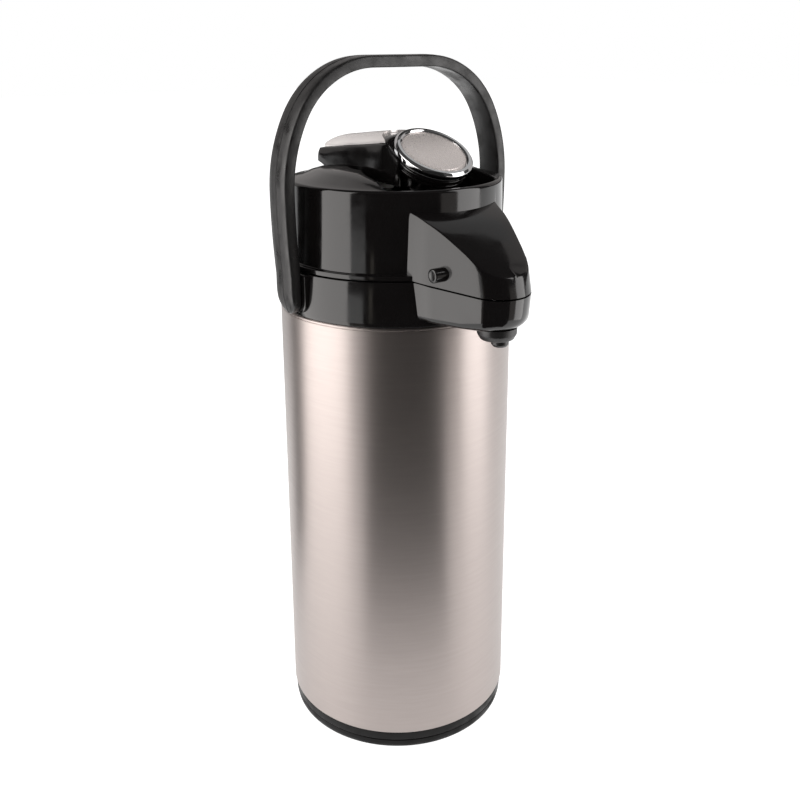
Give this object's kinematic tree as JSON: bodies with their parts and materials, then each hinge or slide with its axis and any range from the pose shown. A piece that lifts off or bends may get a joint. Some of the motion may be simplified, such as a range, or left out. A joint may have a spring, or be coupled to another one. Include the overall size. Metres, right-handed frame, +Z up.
{
  "type": "thermal coffee airpot",
  "caption": "Insulated steel lever airpot with a black hinged pump lid, spout hood, press lever, arched swing handle and a turning stand.",
  "frame": {"origin": "on the body's axis, at the surface that the pot stands on", "axes": "+Z up along the body, the spout points to -Y, the handle's pivots lie along X"},
  "size_m": [0.1824, 0.2145, 0.4748],
  "materials": {
    "black_gloss": "moulded, high gloss",
    "black_matte": "moulded, satin",
    "brushed_steel": "brushed around the body",
    "plain_steel": "plain",
    "bright_trim": "bright plated",
    "satin_disc": "satin",
    "rubber": "soft",
    "silicone": "translucent white",
    "white_plastic": "natural"
  },
  "bodies": {
    "stand": {"base_pad": "rubber", "base_plate": "black_matte", "slip_ring": "white_plastic", "swivel_bolt": "plain_steel"},
    "flask": {"base_cup": "black_matte", "cup_screws": "plain_steel", "outer_shell": "brushed_steel", "shell_bottom": "plain_steel", "vacuum_seal": "plain_steel", "inner_liner": "plain_steel", "collar": "black_gloss", "neck_ring": "black_matte", "neck_gasket": "silicone", "tube_head": "black_matte", "dip_tube": "plain_steel", "delivery_pipe": "plain_steel", "nozzle_ring": "black_gloss", "nozzle_tip": "black_matte", "hinge_pin": "plain_steel"},
    "check_ball": {"valve_ball": "plain_steel"},
    "handle": {"bail_handle": "black_matte", "bail_washers": "plain_steel", "bail_screws": "plain_steel"},
    "lid": {"lid_shell": "black_gloss", "lid_base": "black_matte", "lid_seal": "silicone", "air_valve": "silicone", "bellows": "rubber", "bellows_spring": "plain_steel", "lid_screws": "plain_steel", "lever_pin": "plain_steel", "button_spring_l": "plain_steel", "button_spring_r": "plain_steel"},
    "piston": {"bellows_plate": "black_matte", "push_post": "white_plastic"},
    "lever": {"lever_shell": "black_gloss", "lever_inlay": "bright_trim", "head_cup": "black_gloss", "head_seal": "rubber", "head_ring": "bright_trim", "head_disc": "satin_disc", "lever_foot": "white_plastic", "head_screws": "plain_steel"},
    "release_l": {"button_l": "black_gloss", "latch_hook_l": "black_matte"},
    "release_r": {"button_r": "black_gloss", "latch_hook_r": "black_matte"}
  },
  "joints": [
    {"name": "swivel", "type": "hinge", "parent": "stand", "child": "flask", "pos_m": [0, 0, 0], "axis": [0, 0, 1], "continuous": true},
    {"name": "handle_swing", "type": "hinge", "parent": "flask", "child": "handle", "pos_m": [0, 0, 0.325], "axis": [1, 0, 0], "range_deg": [-90, 90]},
    {"name": "lid_hinge", "type": "hinge", "parent": "flask", "child": "lid", "pos_m": [0, 0.083, 0.34], "axis": [-1, 0, 0], "range_deg": [0, 26]},
    {"name": "lever_press", "type": "hinge", "parent": "lid", "child": "lever", "pos_m": [0, 0.05, 0.4001], "axis": [1, 0, 0], "range_deg": [0, 12], "stiffness_Nm_per_rad": 4, "springref_deg": -5.73},
    {"name": "piston_slide", "type": "slide", "parent": "lid", "child": "piston", "axis": [0, 0, -1], "range_m": [0, 0.009], "deforming": ["bellows", "bellows_spring"]},
    {"name": "release_press_l", "type": "slide", "parent": "lid", "child": "release_l", "axis": [1, 0, 0], "range_m": [0, 0.003], "stiffness_N_per_m": 600, "springref_m": -0.003, "deforming": ["button_spring_l"]},
    {"name": "release_press_r", "type": "slide", "parent": "lid", "child": "release_r", "axis": [-1, 0, 0], "range_m": [0, 0.003], "stiffness_N_per_m": 600, "springref_m": -0.003, "deforming": ["button_spring_r"]},
    {"name": "ball_lift", "type": "slide", "parent": "flask", "child": "check_ball", "axis": [0, 0, 1], "range_m": [0, 0.002]}
  ],
  "couplings": [
    {"joint": "piston_slide", "follows": "lever_press", "m_per_rad": 0.03773}
  ]
}
